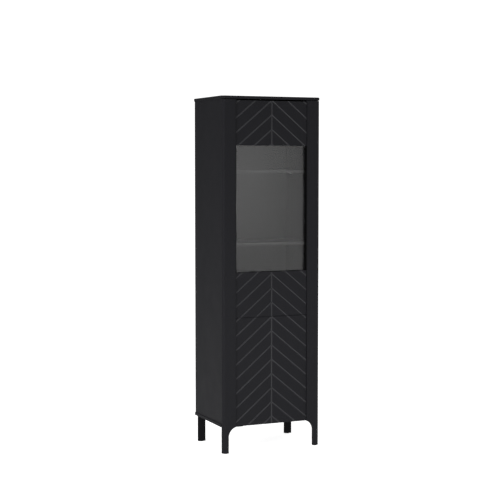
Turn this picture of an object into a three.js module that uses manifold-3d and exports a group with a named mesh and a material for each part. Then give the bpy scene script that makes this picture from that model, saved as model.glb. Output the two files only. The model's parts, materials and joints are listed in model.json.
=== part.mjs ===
// Tall free-standing display cabinet: a glazed upper door over a solid lower door, both with
// chevron grooves, set between two front stiles that run down to the floor as legs.
// Millimetres, +Z up, +Y towards the wall. Origin on the floor, under the middle of the cabinet.
import * as THREE from 'three';
import * as BufferGeometryUtils from 'three/addons/utils/BufferGeometryUtils.js';
import Module from 'manifold-3d';

const wasm = await Module();
wasm.setup();

// ---- driving dimensions ----
const HEIGHT = 1900;
const DEPTH = 400;
const BODY_WIDTH = 570;
const OVERHANG = 4;            // top and bottom panels stand proud of the sides
const BOARD = 15;              // carcass boards
const GAP = 0.3;               // between neighbours that touch
const GLIDE = { height: 2, radius: 8 };
const LEG_HEIGHT = 143;        // floor to the underside of the bottom panel

const STILE_WIDTH = 75.6;
const STILE_THICK = 22;
const STILE_CHAMFER = 12;      // outer front corner
const STILE_TOP_GAP = 3;       // shadow line under the top panel
const LEG_WIDTH = 34;
const ARCH_RADIUS = 55;

const REAR_LEG = { width: 40, thick: 20, front: 350 };

const DOOR_THICK = 18;
const DOOR_RECESS = 5;         // behind the stiles' front faces
const DOOR_SIDE_GAP = 2;
const DOOR_TOP_GAP = 8;
const DOOR_SEAM = 2.2;
const SEAM_HEIGHT = 724.8;
const GLASS_LOW = 967;         // top edge of the upper door's lower panel
const GLASS_HIGH = 1640;       // bottom edge of the upper door's top panel
const GLASS_THICK = 4;
const GLASS_LAP = 15;          // how far the pane runs behind each panel
const BAR_WIDTH = 2.5;
const BAR_TAB = { length: 40, thick: 8 };

const CHEVRON_PITCH = 77;
const CHEVRON_SLOPE = 0.832;   // drop per sideways millimetre
const CHEVRON_FIRST = 184.5;   // height of the lowest apex
const GROOVE = { width: 8, depth: 2.6 };

const PIVOT_INSET = 22;        // pivot axis in from the door's hinge edge
const PIN_RADIUS = 3;
const BUSH = { radius: 5.5, length: 14, bore: 3.3, depth: 12 };
const POCKET = { inner: 165, front: 41.5 };   // notch that lets the door's hinge edge swing in
const INNER_FRONT = 26;        // front edge of the bottom panel, divider and head rail
const HEAD_RAIL = { height: 40, below: 5 };   // below the upper door's top edge

const SHELF_HEIGHTS = { upper: 1494, middle: 1106, lower: 430 };   // undersides
const SHELF_FRONT = 46;
const BACK_FRONT = 393;
const BACK_THICK = 3;
const SHELF_PIN_Y = [SHELF_FRONT + 30, BACK_FRONT - 60];
const SHELF_PIN = { radius: 2.5, length: 16, inset: 8, sides: 12 };

// ---- worked-out places ----
const halfBody = BODY_WIDTH / 2;
const halfTop = halfBody + OVERHANG;
const innerSide = halfBody - BOARD;
const stileInner = halfBody - STILE_WIDTH;
const halfDoor = stileInner - DOOR_SIDE_GAP;
const topUnder = HEIGHT - BOARD;
const floorTop = LEG_HEIGHT + BOARD;
const doorFront = DOOR_RECESS;
const doorBack = DOOR_RECESS + DOOR_THICK;
const doorMid = (doorFront + doorBack) / 2;
const upperDoorLow = SEAM_HEIGHT + DOOR_SEAM / 2;
const upperDoorHigh = topUnder - DOOR_TOP_GAP;
const lowerDoorLow = LEG_HEIGHT + GAP;
const lowerDoorHigh = SEAM_HEIGHT - DOOR_SEAM / 2;
const dividerLow = SEAM_HEIGHT - BOARD / 2;
const dividerHigh = SEAM_HEIGHT + BOARD / 2;
const pivotX = -halfDoor + PIVOT_INSET;

// ---- materials ----
const finish = (color, roughness, metalness) => ({ color, roughness, metalness });
const LACQUER = finish(0x2a2b2d, 0.55, 0);
const INSIDE = finish(0x232426, 0.65, 0);
const HARDBOARD = finish(0x1f2022, 0.75, 0);
const GLASS = finish(0x8d9494, 0.08, 0);
const BLACK_STEEL = finish(0x17181a, 0.4, 0.9);
const ZINC = finish(0xa9acb0, 0.35, 1);
const PLASTIC = finish(0x202123, 0.5, 0);
const NYLON = finish(0xd8d8d2, 0.5, 0);
const RUBBER = finish(0x2c2c2c, 0.9, 0);

// ---- solids ----
function toSolid(geometry) {
  const bare = geometry.clone();
  bare.deleteAttribute('normal');
  bare.deleteAttribute('uv');
  const merged = BufferGeometryUtils.mergeVertices(bare, 1e-4);
  return new wasm.Manifold(new wasm.Mesh({
    numProp: 3,
    vertProperties: new Float32Array(merged.attributes.position.array),
    triVerts: new Uint32Array(merged.index.array),
  }));
}

function toGeometry(solid) {
  const mesh = solid.getMesh();
  const geometry = new THREE.BufferGeometry();
  geometry.setAttribute('position', new THREE.BufferAttribute(mesh.vertProperties, 3));
  geometry.setIndex(new THREE.BufferAttribute(mesh.triVerts, 1));
  geometry.computeVertexNormals();
  return geometry;
}

// A box from its lowest to its highest corner.
function block(low, high) {
  const geometry = new THREE.BoxGeometry(high[0] - low[0], high[1] - low[1], high[2] - low[2]);
  geometry.translate((low[0] + high[0]) / 2, (low[1] + high[1]) / 2, (low[2] + high[2]) / 2);
  return geometry;
}

// An outline drawn in one plane and extruded at right angles to it, from low to high.
function slab(shape, plane, low, high) {
  const geometry = new THREE.ExtrudeGeometry(shape, {
    depth: high - low,
    bevelEnabled: false,
    curveSegments: 10,
  });
  geometry.translate(0, 0, low);
  const turned = new THREE.Matrix4();
  if (plane === 'xz') turned.set(1, 0, 0, 0, 0, 0, -1, 0, 0, 1, 0, 0, 0, 0, 0, 1);
  if (plane === 'yz') turned.set(0, 0, 1, 0, 1, 0, 0, 0, 0, 1, 0, 0, 0, 0, 0, 1);
  geometry.applyMatrix4(turned);
  return geometry;
}

function outline(points) {
  return new THREE.Shape(points.map(([x, y]) => new THREE.Vector2(x, y)));
}

// A round pin or hole from low to high along the named axis, centred at the other two values.
function rod(radius, axis, low, high, centre, sides = 24) {
  const geometry = new THREE.CylinderGeometry(radius, radius, high - low, sides);
  if (axis === 'x') geometry.rotateZ(-Math.PI / 2);
  if (axis === 'z') geometry.rotateX(Math.PI / 2);
  const middle = (low + high) / 2;
  if (axis === 'x') geometry.translate(middle, centre[0], centre[1]);
  if (axis === 'y') geometry.translate(centre[0], middle, centre[1]);
  if (axis === 'z') geometry.translate(centre[0], centre[1], middle);
  return geometry;
}

function cut(geometry, tools) {
  let solid = toSolid(geometry);
  for (const tool of tools) solid = solid.subtract(toSolid(tool));
  return toGeometry(solid);
}

function join(geometries) {
  let solid = toSolid(geometries[0]);
  for (const next of geometries.slice(1)) solid = solid.add(toSolid(next));
  return toGeometry(solid);
}

// ---- the assembly ----
const cabinet = new THREE.Group();
const fromFront = new THREE.Group();       // inside it, Y counts back from the stiles' front faces
fromFront.position.y = -DEPTH / 2;
cabinet.add(fromFront);

function add(name, geometry, material) {
  const mesh = new THREE.Mesh(geometry, new THREE.MeshStandardMaterial(material));
  mesh.name = name;
  fromFront.add(mesh);
}

const SIDES = [['left', -1], ['right', 1]];

// ---- carcass ----
function topPanel() {
  const corner = STILE_CHAMFER + OVERHANG;
  return slab(outline([
    [-halfTop, corner],
    [-halfTop + corner, 0],
    [halfTop - corner, 0],
    [halfTop, corner],
    [halfTop, DEPTH],
    [-halfTop, DEPTH],
  ]), 'xy', topUnder, HEIGHT);
}

// A level board between the stiles' backs and the wall side. Its front edge is notched where
// the doors' hinge edges swing in.
function notchedBoard(side, back, low, high) {
  const behindStiles = STILE_THICK + GAP;
  const step = stileInner - GAP;
  return slab(outline([
    [-side, back],
    [-side, behindStiles],
    [-step, behindStiles],
    [-step, POCKET.front],
    [-POCKET.inner, POCKET.front],
    [-POCKET.inner, INNER_FRONT],
    [step, INNER_FRONT],
    [step, behindStiles],
    [side, behindStiles],
    [side, back],
  ]), 'xy', low, high);
}

function pinPlaces() {
  const places = [];
  for (const [shelf, underside] of Object.entries(SHELF_HEIGHTS)) {
    let number = 1;
    for (const [, sign] of SIDES) {
      for (const y of SHELF_PIN_Y) {
        places.push({ shelf, number, sign, y, z: underside - GAP - SHELF_PIN.radius });
        number += 1;
      }
    }
  }
  return places;
}

function sidePanel(sign) {
  const faces = [sign * innerSide, sign * halfBody];
  const board = block(
    [Math.min(...faces), STILE_THICK + GAP, floorTop + GAP],
    [Math.max(...faces), DEPTH, topUnder - GAP],
  );
  const holes = pinPlaces().filter((pin) => pin.sign === sign).map((pin) => {
    const ends = [sign * (innerSide - 2), sign * (innerSide + SHELF_PIN.inset + GAP)];
    const radius = SHELF_PIN.radius + GAP;
    return rod(radius, 'x', Math.min(...ends), Math.max(...ends), [pin.y, pin.z], SHELF_PIN.sides);
  });
  return cut(board, holes);
}

// A stile and the leg below it are one board, with a quarter-round arch between them.
function stile(sign) {
  const arch = { x: halfBody - LEG_WIDTH - ARCH_RADIUS, z: LEG_HEIGHT - ARCH_RADIUS };
  const endAngle = Math.acos((stileInner - arch.x) / ARCH_RADIUS);
  const shape = new THREE.Shape();
  shape.moveTo(halfBody, GLIDE.height + GAP);
  shape.lineTo(halfBody, topUnder - STILE_TOP_GAP);
  shape.lineTo(stileInner, topUnder - STILE_TOP_GAP);
  shape.lineTo(stileInner, arch.z + ARCH_RADIUS * Math.sin(endAngle));
  shape.absarc(arch.x, arch.z, ARCH_RADIUS, endAngle, 0, true);
  shape.lineTo(halfBody - LEG_WIDTH, GLIDE.height + GAP);
  const board = slab(shape, 'xz', -STILE_THICK, 0);
  const reach = STILE_CHAMFER + 2;
  const corner = slab(outline([
    [halfBody - reach, -2],
    [halfBody + 2, -2],
    [halfBody + 2, reach],
  ]), 'xy', -10, HEIGHT);
  const right = toSolid(board).subtract(toSolid(corner));
  return toGeometry(sign > 0 ? right : right.mirror([1, 0, 0]));
}

function rearLeg(sign) {
  const ends = [sign * (halfBody - REAR_LEG.width), sign * halfBody];
  return block(
    [Math.min(...ends), REAR_LEG.front, GLIDE.height + GAP],
    [Math.max(...ends), REAR_LEG.front + REAR_LEG.thick, LEG_HEIGHT - GAP],
  );
}

function shelf(underside) {
  const half = innerSide - 2 * GAP;
  return block([-half, SHELF_FRONT, underside], [half, BACK_FRONT - GAP, underside + BOARD]);
}

// Rail between the sides that the upper door closes against, notched at the hinge edge.
function headRail() {
  const side = innerSide - GAP;
  const back = POCKET.front + BOARD;
  const high = upperDoorHigh - HEAD_RAIL.below;
  return slab(outline([
    [-side, POCKET.front],
    [-POCKET.inner, POCKET.front],
    [-POCKET.inner, INNER_FRONT],
    [side, INNER_FRONT],
    [side, back],
    [-side, back],
  ]), 'xy', high - HEAD_RAIL.height, high);
}

add('top_panel', topPanel(), LACQUER);
add('bottom_panel', notchedBoard(halfTop, DEPTH, LEG_HEIGHT, floorTop), LACQUER);
for (const [name, sign] of SIDES) {
  add(`side_panel_${name}`, sidePanel(sign), LACQUER);
  add(`front_stile_${name}`, stile(sign), LACQUER);
  add(`rear_leg_${name}`, rearLeg(sign), LACQUER);
}
add('divider_shelf', notchedBoard(
  innerSide - GAP, BACK_FRONT - GAP, dividerLow, dividerHigh,
), INSIDE);
add('head_rail', headRail(), INSIDE);
for (const [name, underside] of Object.entries(SHELF_HEIGHTS)) {
  add(`shelf_${name}`, shelf(underside), INSIDE);
}
// The two back panels meet behind the middle of the divider's back edge.
const backPanels = [
  ['upper', SEAM_HEIGHT + GAP / 2, topUnder - GAP],
  ['lower', floorTop + GAP, SEAM_HEIGHT - GAP / 2],
];
for (const [name, low, high] of backPanels) {
  const half = innerSide - GAP;
  const back = BACK_FRONT + BACK_THICK;
  add(`back_panel_${name}`, block([-half, BACK_FRONT, low], [half, back, high]), HARDBOARD);
}
for (const { shelf: name, number, sign, y, z } of pinPlaces()) {
  const sunk = innerSide + SHELF_PIN.inset;
  const ends = [sign * sunk, sign * (sunk - SHELF_PIN.length)];
  const pin = rod(SHELF_PIN.radius, 'x', Math.min(...ends), Math.max(...ends), [y, z], SHELF_PIN.sides);
  add(`shelf_pin_${name}_${number}`, pin, ZINC);
}

// ---- glides under the four legs ----
for (const [name, sign] of SIDES) {
  const front = [sign * (halfBody - LEG_WIDTH / 2 - 2), STILE_THICK / 2 + 1];
  const rear = [sign * (halfBody - REAR_LEG.width / 2), REAR_LEG.front + REAR_LEG.thick / 2];
  add(`glide_front_${name}`, rod(GLIDE.radius, 'z', 0, GLIDE.height, front), PLASTIC);
  add(`glide_rear_${name}`, rod(GLIDE.radius, 'z', 0, GLIDE.height, rear), PLASTIC);
}

// ---- chevron door panels ----
// Section of a groove: open side towards -Y, a little in front of the face.
function grooveSection(widen) {
  const lead = 1;
  const half = (GROOVE.width / 2) * (1 + lead / GROOVE.depth) * widen;
  return [[-half, -lead], [half, -lead], [0, GROOVE.depth]];
}

// One arm runs from the middle down to the door's edge; the shear gives it its slope.
function chevronArm(apexHeight, sign) {
  const widen = Math.hypot(1, CHEVRON_SLOPE);
  const section = grooveSection(widen).map(([across, deep]) => [deep + doorFront, across]);
  const reach = halfDoor + 2;
  const arm = slab(outline(section), 'yz', sign > 0 ? 0 : -reach, sign > 0 ? reach : 0);
  arm.applyMatrix4(new THREE.Matrix4().makeShear(0, -sign * CHEVRON_SLOPE, 0, 0, 0, 0));
  arm.translate(0, 0, apexHeight);
  return arm;
}

function grooveTools(low, high) {
  const section = grooveSection(1).map(([across, deep]) => [across, deep + doorFront]);
  const tools = [slab(outline(section), 'xy', low - 5, high + 5)];
  const drop = halfDoor * CHEVRON_SLOPE;
  for (let apex = CHEVRON_FIRST; apex < high + drop; apex += CHEVRON_PITCH) {
    if (apex < low - GROOVE.width) continue;
    for (const [, sign] of SIDES) tools.push(chevronArm(apex, sign));
  }
  return tools;
}

function doorBoard(low, high) {
  return block([-halfDoor, doorFront, low], [halfDoor, doorBack, high]);
}

function bushHole(height, up) {
  const ends = up ? [height - 5, height + BUSH.length + GAP] : [height - BUSH.length - GAP, height + 5];
  return rod(BUSH.radius + GAP, 'z', ends[0], ends[1], [pivotX, doorMid]);
}

// Rebates in a panel's back edges, where the glass bars' tabs are screwed.
function tabRebates(low, high) {
  return SIDES.map(([, sign]) => {
    const ends = [sign * (halfDoor - BAR_WIDTH - GAP), sign * (halfDoor + 1)];
    return block(
      [Math.min(...ends), doorBack - BAR_TAB.thick - GAP, low],
      [Math.max(...ends), doorBack + 1, high],
    );
  });
}

const tabReach = BAR_TAB.length + GAP;
add('upper_door_top_panel', cut(doorBoard(GLASS_HIGH, upperDoorHigh), [
  ...grooveTools(GLASS_HIGH, upperDoorHigh),
  ...tabRebates(GLASS_HIGH - 1, GLASS_HIGH + tabReach),
  bushHole(upperDoorHigh, false),
]), LACQUER);
add('upper_door_lower_panel', cut(doorBoard(upperDoorLow, GLASS_LOW), [
  ...grooveTools(upperDoorLow, GLASS_LOW),
  ...tabRebates(GLASS_LOW - tabReach, GLASS_LOW + 1),
  bushHole(upperDoorLow, true),
]), LACQUER);
add('lower_door_panel', cut(doorBoard(lowerDoorLow, lowerDoorHigh), [
  ...grooveTools(lowerDoorLow, lowerDoorHigh),
  bushHole(lowerDoorLow, true),
  bushHole(lowerDoorHigh, false),
]), LACQUER);

// ---- glazing of the upper door ----
add('glass_pane', block(
  [-halfDoor + 1, doorBack + GAP, GLASS_LOW - GLASS_LAP],
  [halfDoor - 1, doorBack + GAP + GLASS_THICK, GLASS_HIGH + GLASS_LAP],
), GLASS);

// A flat bar on edge down each side of the glass, with a tab at each end behind the panels.
function glassBar(sign) {
  const low = GLASS_LOW + GAP;
  const high = GLASS_HIGH - GAP;
  const tabFront = doorBack - BAR_TAB.thick;
  const shape = outline([
    [doorFront, low],
    [tabFront, low],
    [tabFront, GLASS_LOW - BAR_TAB.length],
    [doorBack, GLASS_LOW - BAR_TAB.length],
    [doorBack, GLASS_HIGH + BAR_TAB.length],
    [tabFront, GLASS_HIGH + BAR_TAB.length],
    [tabFront, high],
    [doorFront, high],
  ]);
  const ends = [sign * (halfDoor - BAR_WIDTH), sign * halfDoor];
  return slab(shape, 'yz', Math.min(...ends), Math.max(...ends));
}
for (const [name, sign] of SIDES) add(`glass_bar_${name}`, glassBar(sign), BLACK_STEEL);

// Z-shaped clips screwed behind the panels hold the pane's top and bottom edges.
function glassClip(edge, away, x) {
  const back = doorBack + GAP;
  const over = back + GLASS_THICK + GAP;
  const shape = outline([
    [back, edge + away * GAP],
    [over, edge + away * GAP],
    [over, edge - away * 9],
    [over + 2, edge - away * 9],
    [over + 2, edge + away * 2.5],
    [back + 2, edge + away * 2.5],
    [back + 2, edge + away * 18],
    [back, edge + away * 18],
  ]);
  return slab(shape, 'yz', x - 7, x + 7);
}
const CLIP_X = 150;
for (const [name, sign] of SIDES) {
  add(`glass_clip_top_${name}`, glassClip(GLASS_HIGH + GLASS_LAP, 1, sign * CLIP_X), PLASTIC);
  add(`glass_clip_bottom_${name}`, glassClip(GLASS_LOW - GLASS_LAP, -1, sign * CLIP_X), PLASTIC);
}

// ---- pivots: steel brackets on the cabinet, nylon bushes in the doors ----
function bush(height, up) {
  const direction = up ? 1 : -1;
  const profile = [
    [BUSH.bore, 0],
    [BUSH.radius, 0],
    [BUSH.radius, BUSH.length],
    [0, BUSH.length],
    [0, BUSH.depth],
    [BUSH.bore, BUSH.depth],
    [BUSH.bore, 0],
  ];
  const geometry = new THREE.LatheGeometry(profile.map(([r, h]) => new THREE.Vector2(r, h)), 24);
  geometry.rotateX(direction * Math.PI / 2);
  geometry.translate(pivotX, doorMid, height);
  return geometry;
}
add('upper_door_top_bush', bush(upperDoorHigh, false), NYLON);
add('upper_door_bottom_bush', bush(upperDoorLow, true), NYLON);
add('lower_door_top_bush', bush(lowerDoorHigh, false), NYLON);
add('lower_door_bottom_bush', bush(lowerDoorLow, true), NYLON);

const pinReach = BUSH.depth - 1.5;
const plate = { left: -stileInner + 4, right: -POCKET.inner - GAP, front: doorFront + 2, thick: 2 };

function endBracket(plateLow, back, pinLow, pinHigh) {
  return join([
    block([plate.left, plate.front, plateLow], [plate.right, back, plateLow + plate.thick]),
    rod(PIN_RADIUS, 'z', pinLow, pinHigh, [pivotX, doorMid]),
  ]);
}
const topPlateLow = topUnder - GAP - plate.thick;
const bottomPlateLow = LEG_HEIGHT - GAP - plate.thick;
add('pivot_bracket_top', endBracket(
  topPlateLow, POCKET.front - GAP, upperDoorHigh - pinReach, topPlateLow + plate.thick / 2,
), BLACK_STEEL);
add('pivot_bracket_bottom', endBracket(
  bottomPlateLow, 80, bottomPlateLow + plate.thick / 2, lowerDoorLow + pinReach,
), BLACK_STEEL);

// The middle bracket's tongue lies in the seam and carries both doors; its flange is screwed
// to the divider in the bottom of the notch.
function middleBracket() {
  const tongue = 1;
  const flange = { front: POCKET.front - GAP - 1.5, back: POCKET.front - GAP };
  return join([
    block(
      [plate.left, plate.front, SEAM_HEIGHT - tongue / 2],
      [plate.right, flange.back, SEAM_HEIGHT + tongue / 2],
    ),
    block([plate.left, flange.front, dividerLow + 1], [plate.right, flange.back, dividerHigh - 1]),
    rod(PIN_RADIUS, 'z', lowerDoorHigh - pinReach, upperDoorLow + pinReach, [pivotX, doorMid]),
  ]);
}
add('pivot_bracket_middle', middleBracket(), BLACK_STEEL);

// ---- push latches: a spring plunger in a body on the divider, and a strike on each door ----
const LATCH = { x: 180, width: 16, height: 13, front: 30, back: 78, plunger: 4, bore: 4.4 };
const STRIKE = { radius: 9, thick: 1.2 };
const latchHeights = [
  ['upper', dividerHigh + GAP + LATCH.height / 2],
  ['lower', dividerLow - GAP - LATCH.height / 2],
];
for (const [name, z] of latchHeights) {
  const strikeBack = doorBack + GAP + STRIKE.thick;
  const tip = strikeBack + GAP;
  const body = block(
    [LATCH.x - LATCH.width / 2, LATCH.front, z - LATCH.height / 2],
    [LATCH.x + LATCH.width / 2, LATCH.back, z + LATCH.height / 2],
  );
  const bore = rod(LATCH.bore, 'y', LATCH.front - 5, LATCH.back - 8, [LATCH.x, z]);
  add(`latch_body_${name}`, cut(body, [bore]), PLASTIC);
  add(`latch_plunger_${name}`, rod(LATCH.plunger, 'y', tip, LATCH.back - 16, [LATCH.x, z], 20), ZINC);
  add(`strike_plate_${name}`, rod(STRIKE.radius, 'y', doorBack + GAP, strikeBack, [LATCH.x, z]), ZINC);
}

// ---- rubber buffers on the doors' backs, against the boards they close on ----
const BUFFER = { x: 60, radius: 4, thick: 2.1, edge: 4.5 };
const bufferHeights = [
  ['upper_door_top', upperDoorHigh - 14],
  ['upper_door_bottom', upperDoorLow + BUFFER.edge],
  ['lower_door_top', lowerDoorHigh - BUFFER.edge],
  ['lower_door_bottom', lowerDoorLow + 8],
];
for (const [name, z] of bufferHeights) {
  const front = doorBack + GAP;
  const buffer = rod(BUFFER.radius, 'y', front, front + BUFFER.thick, [BUFFER.x, z], 20);
  add(`buffer_${name}`, buffer, RUBBER);
}

// ---- steel angle inside the top rear corner, for the screw that ties the cabinet to a wall ----
add('wall_tie_angle', slab(outline([
  [BACK_FRONT - GAP, topUnder - GAP],
  [BACK_FRONT - GAP - 25, topUnder - GAP],
  [BACK_FRONT - GAP - 25, topUnder - GAP - 2],
  [BACK_FRONT - GAP - 2, topUnder - GAP - 2],
  [BACK_FRONT - GAP - 2, topUnder - GAP - 30],
  [BACK_FRONT - GAP, topUnder - GAP - 30],
]), 'yz', -20, 20), ZINC);

export default cabinet;
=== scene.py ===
import json
import math

import bmesh
import bpy
from mathutils import Matrix, Vector


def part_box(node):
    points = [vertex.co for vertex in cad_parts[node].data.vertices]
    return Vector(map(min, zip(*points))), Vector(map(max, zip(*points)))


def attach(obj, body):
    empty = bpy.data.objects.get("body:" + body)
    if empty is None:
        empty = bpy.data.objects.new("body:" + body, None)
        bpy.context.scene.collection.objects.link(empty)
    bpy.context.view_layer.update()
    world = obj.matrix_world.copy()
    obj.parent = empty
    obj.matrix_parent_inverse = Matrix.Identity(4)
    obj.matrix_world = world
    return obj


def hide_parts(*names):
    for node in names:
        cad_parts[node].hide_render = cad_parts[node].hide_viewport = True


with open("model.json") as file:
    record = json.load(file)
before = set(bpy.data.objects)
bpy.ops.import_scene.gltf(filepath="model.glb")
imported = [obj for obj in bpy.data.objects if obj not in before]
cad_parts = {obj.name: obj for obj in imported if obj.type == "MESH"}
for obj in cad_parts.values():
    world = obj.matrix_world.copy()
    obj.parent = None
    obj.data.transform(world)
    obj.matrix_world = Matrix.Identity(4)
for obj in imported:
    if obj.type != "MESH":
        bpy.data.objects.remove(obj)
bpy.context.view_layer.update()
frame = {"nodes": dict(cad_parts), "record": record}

MM = 0.001
BODY_OF = {
    node: body
    for body, members in frame["record"]["behaviour"]["bodies"].items()
    for node in members
}
SLOT_OF = {part["node"]: part["material_slot"] for part in frame["record"]["subparts"]}

# ---- camera, floor, light ----
CAMERA_PLACE = Vector((-2.884, -6.4655, 1.5415))
CAMERA_YAW = math.radians(23.74)
CAMERA_PITCH = math.radians(3.805)
CAMERA_LENS = 92.99
FLOOR_HALF = 9.0
FLOOR_ALBEDO = 0.8
FLOOR_GLOW = 0.75
BACKDROP = 1.15            # what the camera sees behind the cabinet
ROOM_LOW = 0.45            # brightness of the studio room at and below the horizon
ROOM_HIGH = 0.75           # and overhead
DARK_CORNER = 0.3          # share of it that is left in the corner behind the cabinet, on the left


def make_camera():
    data = bpy.data.cameras.new("photo_camera")
    data.sensor_width = 36.0
    data.lens = CAMERA_LENS
    data.clip_end = 200.0
    camera = bpy.data.objects.new("photo_camera", data)
    camera.location = CAMERA_PLACE
    camera.rotation_euler = (math.pi / 2 - CAMERA_PITCH, 0.0, -CAMERA_YAW)
    bpy.context.scene.collection.objects.link(camera)
    bpy.context.scene.camera = camera


def make_floor():
    mesh = bpy.data.meshes.new("floor")
    s = FLOOR_HALF
    mesh.from_pydata([(-s, -s, 0), (s, -s, 0), (s, s, 0), (-s, s, 0)], [], [(0, 1, 2, 3)])
    floor = bpy.data.objects.new("floor", mesh)
    bpy.context.scene.collection.objects.link(floor)
    material = bpy.data.materials.new("pale_floor")
    material.use_nodes = True
    shader = material.node_tree.nodes["Principled BSDF"]
    shader.inputs["Base Color"].default_value = (FLOOR_ALBEDO, FLOOR_ALBEDO, FLOOR_ALBEDO, 1.0)
    shader.inputs["Roughness"].default_value = 0.9
    shader.inputs["Specular IOR Level"].default_value = 0.0
    shader.inputs["Emission Color"].default_value = (1.0, 1.0, 1.0, 1.0)
    shader.inputs["Emission Strength"].default_value = FLOOR_GLOW
    mesh.materials.append(material)


def make_area_light(name, place, target, size, power, mirrored):
    """An area light aimed at a target. Only a mirrored one shows in reflections, and none shows
    to the camera or through glass."""
    data = bpy.data.lights.new(name, "AREA")
    data.shape = "RECTANGLE"
    data.size, data.size_y = size
    data.energy = power
    light = bpy.data.objects.new(name, data)
    light.location = place
    light.rotation_euler = (Vector(target) - Vector(place)).to_track_quat("-Z", "Y").to_euler()
    light.visible_camera = False
    light.visible_glossy = mirrored
    light.visible_transmission = False
    bpy.context.scene.collection.objects.link(light)


def world_range(tree, value, from_low, from_high, to_low, to_high):
    node = tree.nodes.new("ShaderNodeMapRange")
    node.interpolation_type = "SMOOTHSTEP"
    node.inputs["From Min"].default_value = from_low
    node.inputs["From Max"].default_value = from_high
    node.inputs["To Min"].default_value = to_low
    node.inputs["To Max"].default_value = to_high
    tree.links.new(value, node.inputs["Value"])
    return node.outputs["Result"]


def make_world():
    """White backdrop for the camera; the light comes from a dimmer room around it."""
    world = bpy.data.worlds.new("studio")
    world.use_nodes = True
    tree = world.node_tree
    room = tree.nodes["Background"]
    room.inputs["Color"].default_value = (1.0, 1.0, 1.0, 1.0)
    direction = tree.nodes.new("ShaderNodeTexCoord").outputs["Generated"]
    split = tree.nodes.new("ShaderNodeSeparateXYZ")
    tree.links.new(direction, split.inputs["Vector"])
    corner = tree.nodes.new("ShaderNodeVectorMath")
    corner.operation = "DOT_PRODUCT"
    corner.inputs[1].default_value = (-math.sqrt(0.5), math.sqrt(0.5), 0.0)
    tree.links.new(direction, corner.inputs[0])
    strength = tree.nodes.new("ShaderNodeMath")
    strength.operation = "MULTIPLY"
    by_height = world_range(tree, split.outputs["Z"], 0.0, 0.8, ROOM_LOW, ROOM_HIGH)
    by_corner = world_range(tree, corner.outputs["Value"], 0.2, 0.8, 1.0, DARK_CORNER)
    tree.links.new(by_height, strength.inputs[0])
    tree.links.new(by_corner, strength.inputs[1])
    tree.links.new(strength.outputs[0], room.inputs["Strength"])

    backdrop = tree.nodes.new("ShaderNodeBackground")
    backdrop.inputs["Color"].default_value = (1.0, 1.0, 1.0, 1.0)
    backdrop.inputs["Strength"].default_value = BACKDROP
    path = tree.nodes.new("ShaderNodeLightPath")
    choose = tree.nodes.new("ShaderNodeMixShader")
    tree.links.new(path.outputs["Is Camera Ray"], choose.inputs["Fac"])
    tree.links.new(room.outputs["Background"], choose.inputs[1])
    tree.links.new(backdrop.outputs["Background"], choose.inputs[2])
    tree.links.new(choose.outputs["Shader"], tree.nodes["World Output"].inputs["Surface"])
    bpy.context.scene.world = world


make_camera()
make_floor()
make_world()
make_area_light("low_strip", (-0.1, -2.1, 0.25), (0.0, 0.0, 0.25), (2.8, 0.4), 32, False)
make_area_light("key_left", (-4.2, -2.2, 1.7), (-0.2, -0.1, 0.95), (1.6, 2.4), 290, False)
make_area_light("glass_softbox", (0.95, -3.1, 1.85), (0.0, 0.0, 1.3), (1.0, 1.9), 7.6, True)
bpy.context.scene.view_settings.view_transform = "Standard"


# ---- materials ----
def new_material(name):
    material = bpy.data.materials.new(name)
    material.use_nodes = True
    tree = material.node_tree
    return material, tree, tree.nodes["Principled BSDF"]


def object_coordinates(tree, scale):
    coordinates = tree.nodes.new("ShaderNodeTexCoord")
    mapping = tree.nodes.new("ShaderNodeMapping")
    mapping.inputs["Scale"].default_value = scale
    tree.links.new(coordinates.outputs["Object"], mapping.inputs["Vector"])
    return mapping.outputs["Vector"]


def noise(tree, vector, scale, detail=3.0, roughness=0.5):
    node = tree.nodes.new("ShaderNodeTexNoise")
    node.inputs["Scale"].default_value = scale
    node.inputs["Detail"].default_value = detail
    node.inputs["Roughness"].default_value = roughness
    tree.links.new(vector, node.inputs["Vector"])
    return node.outputs["Fac"]


def spread(tree, value, low, high):
    node = tree.nodes.new("ShaderNodeMapRange")
    node.inputs["From Min"].default_value = 0.3
    node.inputs["From Max"].default_value = 0.7
    node.inputs["To Min"].default_value = low
    node.inputs["To Max"].default_value = high
    tree.links.new(value, node.inputs["Value"])
    return node.outputs["Result"]


def tint(tree, factor, dark, light):
    node = tree.nodes.new("ShaderNodeMix")
    node.data_type = "RGBA"
    tree.links.new(factor, node.inputs["Factor"])
    node.inputs[6].default_value = (*dark, 1.0)
    node.inputs[7].default_value = (*light, 1.0)
    return node.outputs[2]


def bump(tree, height, strength, distance):
    node = tree.nodes.new("ShaderNodeBump")
    node.inputs["Strength"].default_value = strength
    node.inputs["Distance"].default_value = distance
    tree.links.new(height, node.inputs["Height"])
    return node.outputs["Normal"]


def lacquer(name, colour, variation, specular, roughness):
    """Sprayed matte lacquer: faint cloudiness, and a fine vertical grain that telegraphs through."""
    material, tree, shader = new_material(name)
    dark = [value * (1.0 - variation) for value in colour]
    light = [value * (1.0 + variation) for value in colour]
    cloud = noise(tree, object_coordinates(tree, (1, 1, 1)), 9.0, 4.0)
    grain = noise(tree, object_coordinates(tree, (1.0, 1.0, 0.04)), 420.0, 5.0, 0.6)
    pebble = noise(tree, object_coordinates(tree, (1, 1, 1)), 900.0, 2.0)
    tree.links.new(tint(tree, cloud, dark, light), shader.inputs["Base Color"])
    tree.links.new(spread(tree, cloud, *roughness), shader.inputs["Roughness"])
    height = tree.nodes.new("ShaderNodeMath")
    height.operation = "ADD"
    tree.links.new(grain, height.inputs[0])
    tree.links.new(pebble, height.inputs[1])
    tree.links.new(bump(tree, height.outputs[0], 0.1, 0.0002), shader.inputs["Normal"])
    shader.inputs["Specular IOR Level"].default_value = specular
    return material


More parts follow.
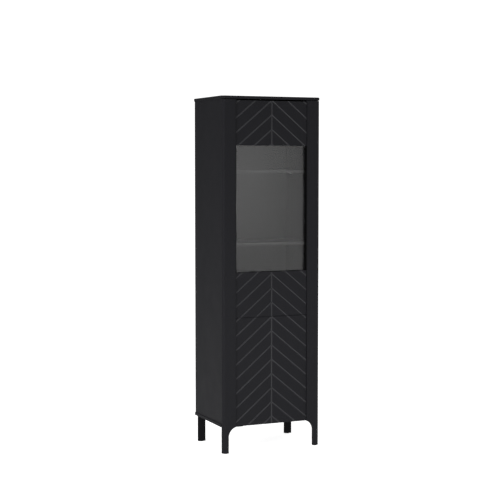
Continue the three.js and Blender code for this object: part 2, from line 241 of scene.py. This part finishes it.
def hardware(name, dark, light, metallic, specular, roughness, scale):
    """Small hardware: colour and roughness wander slightly, over a fine surface texture."""
    material, tree, shader = new_material(name)
    patch = noise(tree, object_coordinates(tree, (1, 1, 1)), scale, 3.0)
    tree.links.new(tint(tree, patch, dark, light), shader.inputs["Base Color"])
    tree.links.new(spread(tree, patch, *roughness), shader.inputs["Roughness"])
    fine = noise(tree, object_coordinates(tree, (1, 1, 1)), scale * 8, 2.0)
    tree.links.new(bump(tree, fine, 0.2, 0.05 * MM), shader.inputs["Normal"])
    shader.inputs["Metallic"].default_value = metallic
    shader.inputs["Specular IOR Level"].default_value = specular
    return material


def glass_material(name):
    """Clear pane with hardly any bend; its coat gives the soft reflection."""
    material, tree, shader = new_material(name)
    film = noise(tree, object_coordinates(tree, (1.0, 1.0, 0.6)), 7.0, 3.0)
    tree.links.new(tint(tree, film, (0.80, 0.80, 0.80), (0.83, 0.83, 0.83)), shader.inputs["Base Color"])
    shader.inputs["Roughness"].default_value = 0.0
    shader.inputs["Transmission Weight"].default_value = 1.0
    shader.inputs["IOR"].default_value = 1.05
    shader.inputs["Coat Weight"].default_value = 1.0
    shader.inputs["Coat Roughness"].default_value = 0.22
    shader.inputs["Coat IOR"].default_value = 1.5
    return material


LACQUER_COLOUR = (0.0062, 0.0062, 0.0072)
INSIDE_COLOUR = (0.0125, 0.0125, 0.0132)
EDGE_BAND_COLOUR = (0.017, 0.017, 0.0175)
# painted highlight: the groove colour is lighter than the lacquer, standing in for the light the groove
# flanks catch
GROOVE_HIGHLIGHT_COLOUR = (0.018, 0.018, 0.0195)

MATERIALS = {
    "black_lacquer": lacquer("black_lacquer", LACQUER_COLOUR, 0.06, 0.06, (0.6, 0.66)),
    "inside_lacquer": lacquer("inside_lacquer", INSIDE_COLOUR, 0.08, 0.06, (0.6, 0.7)),
    "black_hardboard": lacquer("black_hardboard", (0.008, 0.008, 0.0085), 0.15, 0.1, (0.7, 0.85)),
    "grey_glass": glass_material("grey_glass"),
    "black_steel": hardware("black_steel", (0.0012,) * 3, (0.002,) * 3, 0.0, 0.02, (0.4, 0.5), 60),
    "zinc_steel": hardware("zinc_steel", (0.42, 0.43, 0.46), (0.62,) * 3, 1.0, 0.5, (0.25, 0.42), 90),
    "black_plastic": hardware("black_plastic", (0.012,) * 3, (0.018,) * 3, 0.0, 0.4, (0.45, 0.6), 200),
    "white_nylon": hardware("white_nylon", (0.62, 0.62, 0.58), (0.74, 0.74, 0.7), 0.0, 0.5, (0.4, 0.55), 150),
    "black_rubber": hardware("black_rubber", (0.01,) * 3, (0.02,) * 3, 0.0, 0.3, (0.8, 0.95), 300),
}
# painted highlight on the groove flanks: lighter colour, over a real glossier satin sheen
GROOVE_PAINTED_HIGHLIGHT = lacquer("black_lacquer_groove_painted_highlight", GROOVE_HIGHLIGHT_COLOUR, 0.06, 0.1, (0.5, 0.6))
EDGE_BAND = lacquer("shelf_edge_band", EDGE_BAND_COLOUR, 0.05, 0.2, (0.45, 0.55))
# painted shade: the rear legs get a darker lacquer than the rest, standing in for the shade they sit in under
# the cabinet
SHADED_REAR_LEG = lacquer("rear_leg_painted_shade", (0.004, 0.004, 0.0044), 0.1, 0.03, (0.65, 0.75))


# ---- making pieces ----
SHARP = 32.0                # degrees; an edge sharper than this is rounded
GROOVE_SHARP = 20.0         # the same on the grooved panels, whose V edges are shallower
BEVEL_STEPS = 3
SAME_PLACE = 0.01 * MM      # points closer than this are one point


def new_piece(name, work, body, materials):
    """Turns a bmesh into a smooth-shaded object that rides on a body."""
    bmesh.ops.recalc_face_normals(work, faces=work.faces)
    mesh = bpy.data.meshes.new(name)
    work.to_mesh(mesh)
    work.free()
    mesh.shade_smooth()
    for material in materials:
        mesh.materials.append(material)
    piece = bpy.data.objects.new(name, mesh)
    bpy.context.scene.collection.objects.link(piece)
    smooth = piece.modifiers.new("even_normals", "WEIGHTED_NORMAL")
    smooth.keep_sharp = True
    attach(piece, body)
    return piece


def stand_for(node, work, materials=None):
    """Makes the finished piece that shows in a CAD node's place."""
    slot = SLOT_OF[node]
    piece = new_piece(f"{node}_finished", work, BODY_OF[node], materials or [MATERIALS[slot]])
    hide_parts(node)
    return piece


def solid_of(node):
    """The node's own solid, with its coplanar triangles joined."""
    work = bmesh.new()
    work.from_mesh(frame["nodes"][node].data)
    bmesh.ops.remove_doubles(work, verts=work.verts, dist=SAME_PLACE)
    bmesh.ops.dissolve_limit(work, angle_limit=math.radians(0.5), verts=work.verts, edges=work.edges)
    return work


def round_edges(work, edge, sharper_than):
    """Rounds every edge sharper than an angle in degrees."""
    limit = math.radians(sharper_than)
    sharp = [e for e in work.edges if e.is_manifold and e.calc_face_angle(0.0) > limit]
    bmesh.ops.bevel(
        work, geom=sharp, offset=edge, offset_type="OFFSET", segments=BEVEL_STEPS,
        profile=0.5, affect="EDGES", clamp_overlap=True,
    )


def reach(work, axis, distance):
    """Moves the solid's two end faces along an axis outwards, to meet the boards beyond them."""
    ends = [vertex.co[axis] for vertex in work.verts]
    low, high = min(ends), max(ends)
    for vertex in work.verts:
        if vertex.co[axis] < low + SAME_PLACE:
            vertex.co[axis] -= distance
        elif vertex.co[axis] > high - SAME_PLACE:
            vertex.co[axis] += distance


def board(node, edge, material=None, reaches=()):
    """A board, bar or bracket: its own shape with every sharp edge rounded."""
    work = solid_of(node)
    for axis, distance in reaches:
        reach(work, "xyz".index(axis), distance)
    round_edges(work, edge, SHARP)
    return stand_for(node, work, material and [material])


def shelf_board(node, edge):
    """A shelf: its front face carries a lighter edge band."""
    work = solid_of(node)
    for face in work.faces:
        face.material_index = 1 if face.normal.y < -0.99 else 0
    round_edges(work, edge, SHARP)
    return stand_for(node, work, [MATERIALS[SLOT_OF[node]], EDGE_BAND])


def grooved_board(node, edge):
    """A door panel: the V grooves and their broken edges get a glossier satin lacquer. Its lighter colour is
    a painted highlight for the light the grooves catch.
    """
    work = solid_of(node)
    front = min(vertex.co.y for vertex in work.verts)
    for face in work.faces:
        flank = 0.2 < abs(face.normal.y) < 0.95
        near_front = face.calc_center_median().y < front + 5 * MM
        # the groove flanks near the front get the painted highlight
        face.material_index = 1 if flank and near_front else 0
    round_edges(work, edge, GROOVE_SHARP)
    return stand_for(node, work, [MATERIALS[SLOT_OF[node]], GROOVE_PAINTED_HIGHLIGHT])


def lathe(work, profile, sides, place, closed=False):
    """Adds a solid of revolution about place's Z axis; the profile is (radius, height) pairs."""
    rings = []
    for radius, height in profile:
        turns = sides if radius > 0 else 1
        rings.append([
            work.verts.new(place @ Vector((
                radius * math.cos(2 * math.pi * n / turns),
                radius * math.sin(2 * math.pi * n / turns),
                height,
            )))
            for n in range(turns)
        ])
    pairs = list(zip(rings, rings[1:]))
    if closed:
        pairs.append((rings[-1], rings[0]))
    for lower, upper in pairs:
        if len(lower) == 1 and len(upper) == 1:
            continue
        for n in range(sides):
            corners = [
                lower[n % len(lower)], lower[(n + 1) % len(lower)],
                upper[(n + 1) % len(upper)], upper[n % len(upper)],
            ]
            work.faces.new(list(dict.fromkeys(corners)))


def turned(node, axis, profile, flip=False, closed=False, sides=48):
    """A round piece in the node's place; its profile is in shares of its radius and length."""
    low, high = (Vector(corner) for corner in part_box(node))
    size = high - low
    along = "xyz".index(axis)
    across = (along + 1) % 3
    radius = size[across] / 2
    start = (low + high) / 2
    start[along] = high[along] if flip else low[along]
    heading = Vector((0, 0, 0))
    heading[along] = -1.0 if flip else 1.0
    place = Matrix.Translation(start) @ heading.to_track_quat("Z", "Y").to_matrix().to_4x4()
    work = bmesh.new()
    points = [(r * radius, h * size[along]) for r, h in profile]
    lathe(work, points, sides, place, closed)
    return stand_for(node, work)


# ---- boards, panels, bars and brackets ----
for node, obj in frame["nodes"].items():
    obj.data.materials.clear()
    obj.data.materials.append(MATERIALS[SLOT_OF[node]])

HALF_GAP = 0.14 * MM        # how far boards reach towards the ones they meet,
WHOLE_GAP = 0.28 * MM       # so that no light shows through their joints
SIDES = ("left", "right")
SHELVES = ("upper", "middle", "lower")
DOOR_PANELS = ("upper_door_top_panel", "upper_door_lower_panel", "lower_door_panel")

board("top_panel", 0.4 * MM)
board("bottom_panel", 0.4 * MM)
board("divider_shelf", 0.6 * MM)
board("head_rail", 0.6 * MM)
for level in ("upper", "lower"):
    board(f"back_panel_{level}", 0.1 * MM, reaches=[("x", HALF_GAP), ("z", HALF_GAP)])
    board(f"latch_body_{level}", 0.8 * MM)
for side in SIDES:
    board(f"side_panel_{side}", 0.6 * MM, reaches=[("x", HALF_GAP), ("z", WHOLE_GAP)])
    board(f"front_stile_{side}", 1.0 * MM)
    # the rear legs wear the darker lacquer, which is painted shade
    board(f"rear_leg_{side}", 1.0 * MM, SHADED_REAR_LEG)
    board(f"glass_bar_{side}", 0.3 * MM)
    for end in ("top", "bottom"):
        board(f"glass_clip_{end}_{side}", 0.4 * MM)
for end in ("top", "middle", "bottom"):
    board(f"pivot_bracket_{end}", 0.15 * MM)
board("wall_tie_angle", 0.4 * MM)
for level in SHELVES:
    shelf_board(f"shelf_{level}", 0.8 * MM)
for node in DOOR_PANELS:
    grooved_board(node, 0.5 * MM)
board("glass_pane", 0.5 * MM).visible_shadow = False

# ---- round pieces ----
GLIDE = [(0, 0), (0.8, 0), (0.95, 0.15), (1, 0.4), (1, 1), (0, 1)]
SHELF_PIN = [(0, 0), (0.8, 0), (1, 0.03), (1, 0.97), (0.8, 1), (0, 1)]
PLUNGER = [(0, 0), (0.5, 0.004), (0.8, 0.015), (0.95, 0.035), (1, 0.06), (1, 1), (0, 1)]
STRIKE = [(0, 0), (1, 0), (1, 0.6), (0.95, 1), (0, 1)]
BUFFER = [(0, 0), (1, 0), (1, 0.45), (0.92, 0.75), (0.7, 0.94), (0.4, 1), (0, 1)]
BUSH = [
    (0.66, 0), (0.95, 0), (1, 0.02), (1, 0.98), (0.95, 1), (0, 1), (0, 0.857), (0.6, 0.857), (0.6, 0.03),
]
for side in SIDES:
    for end in ("front", "rear"):
        turned(f"glide_{end}_{side}", "z", GLIDE)
for level in SHELVES:
    for number in range(1, 5):
        turned(f"shelf_pin_{level}_{number}", "x", SHELF_PIN, sides=32)
for level in ("upper", "lower"):
    turned(f"latch_plunger_{level}", "y", PLUNGER)
    turned(f"strike_plate_{level}", "y", STRIKE)
    for end in ("top", "bottom"):
        turned(f"buffer_{level}_door_{end}", "y", BUFFER, sides=32)
        turned(f"{level}_door_{end}_bush", "z", BUSH, flip=end == "top", closed=True)


# ---- screws ----
def cross_head():
    """A pan head of radius 1, facing +Z, with a cross recess cut into it."""
    work = bmesh.new()
    dome = [(0, 0), (1, 0), (1, 0.12), (0.93, 0.28), (0.75, 0.42), (0.45, 0.5), (0, 0.52)]
    lathe(work, dome, 32, Matrix.Identity(4))
    bmesh.ops.recalc_face_normals(work, faces=work.faces)
    head = bpy.data.meshes.new("cross_head")
    work.to_mesh(head)
    work.free()
    holder = bpy.data.objects.new("cross_head", head)
    bpy.context.scene.collection.objects.link(holder)
    tools = []
    for length, width in ((0.56, 0.12), (0.12, 0.56)):
        slot = bmesh.new()
        bmesh.ops.create_cube(slot, size=2.0)
        bmesh.ops.scale(slot, vec=(length, width, 0.3), verts=slot.verts)
        bmesh.ops.translate(slot, vec=(0, 0, 0.48), verts=slot.verts)
        mesh = bpy.data.meshes.new("recess")
        slot.to_mesh(mesh)
        slot.free()
        tool = bpy.data.objects.new("recess", mesh)
        bpy.context.scene.collection.objects.link(tool)
        cutter = holder.modifiers.new("recess", "BOOLEAN")
        cutter.object = tool
        cutter.solver = "EXACT"
        tools.append(tool)
    bpy.context.view_layer.update()
    evaluated = holder.evaluated_get(bpy.context.evaluated_depsgraph_get())
    shaped = bpy.data.meshes.new_from_object(evaluated)
    for extra in (holder, *tools):
        bpy.data.objects.remove(extra)
    return shaped


HEAD = cross_head()


def screws(name, body, slot, radius, facing, places):
    """A group of equal screw heads, all facing the same way, seated at the given places."""
    turn = Vector(facing).to_track_quat("Z", "Y").to_matrix().to_4x4()
    work = bmesh.new()
    for place in places:
        head = bmesh.new()
        head.from_mesh(HEAD)
        spot = Matrix.Translation(place) @ turn @ Matrix.Diagonal((radius, radius, radius, 1.0))
        bmesh.ops.transform(head, matrix=spot, verts=head.verts)
        mesh = bpy.data.meshes.new("head")
        head.to_mesh(mesh)
        head.free()
        work.from_mesh(mesh)
        bpy.data.meshes.remove(mesh)
    return new_piece(name, work, body, [MATERIALS[slot]])


PLATE = 2.0 * MM            # thickness of the brackets' plates, the clips and the tie angle
FLANGE = 1.5 * MM           # and of the middle bracket's flange
UP = (0, 0, 1)
DOWN = (0, 0, -1)
FRONT = (0, -1, 0)
BACK = (0, 1, 0)

low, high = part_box("pivot_bracket_top")
screws("screws_bracket_top", "cabinet", "black_steel", 3.2 * MM, DOWN, [
    (x, high[1] - 10 * MM, high[2] - PLATE) for x in (low[0] + 7 * MM, high[0] - 7 * MM)
])
low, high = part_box("pivot_bracket_middle")
divider_low, divider_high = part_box("divider_shelf")
divider_middle = (divider_low[2] + divider_high[2]) / 2
screws("screws_bracket_middle", "cabinet", "black_steel", 2.4 * MM, FRONT, [
    (x, high[1] - FLANGE, divider_middle + rise)
    for x in (low[0] + 7 * MM, high[0] - 7 * MM)
    for rise in (-3.5 * MM, 3.5 * MM)
])
low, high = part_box("pivot_bracket_bottom")
screws("screws_bracket_bottom", "cabinet", "black_steel", 3.6 * MM, DOWN, [
    (x, y, low[2])
    for x in (low[0] + 9 * MM, high[0] - 9 * MM)
    for y in (low[1] + 32 * MM, high[1] - 12 * MM)
])
for level, facing, side in (("upper", UP, 1), ("lower", DOWN, 0)):
    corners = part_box(f"latch_body_{level}")
    middle = (corners[0][0] + corners[1][0]) / 2
    screws(f"screws_latch_{level}", "cabinet", "zinc_steel", 2.8 * MM, facing, [
        (middle, corners[0][1] + share * (corners[1][1] - corners[0][1]), corners[side][2])
        for share in (0.3, 0.8)
    ])
for end, side, inwards in (("top", 1, -8 * MM), ("bottom", 0, 8 * MM)):
    places = []
    for hand in SIDES:
        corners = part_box(f"glass_clip_{end}_{hand}")
        middle = (corners[0][0] + corners[1][0]) / 2
        places.append((middle, corners[0][1] + PLATE, corners[side][2] + inwards))
    screws(f"screws_glass_clips_{end}", "upper_door", "zinc_steel", 3.0 * MM, BACK, places)
low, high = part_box("wall_tie_angle")
screws("screws_wall_tie", "cabinet", "zinc_steel", 3.2 * MM, DOWN, [
    (x, low[1] + 10 * MM, high[2] - PLATE) for x in (-12 * MM, 12 * MM)
])
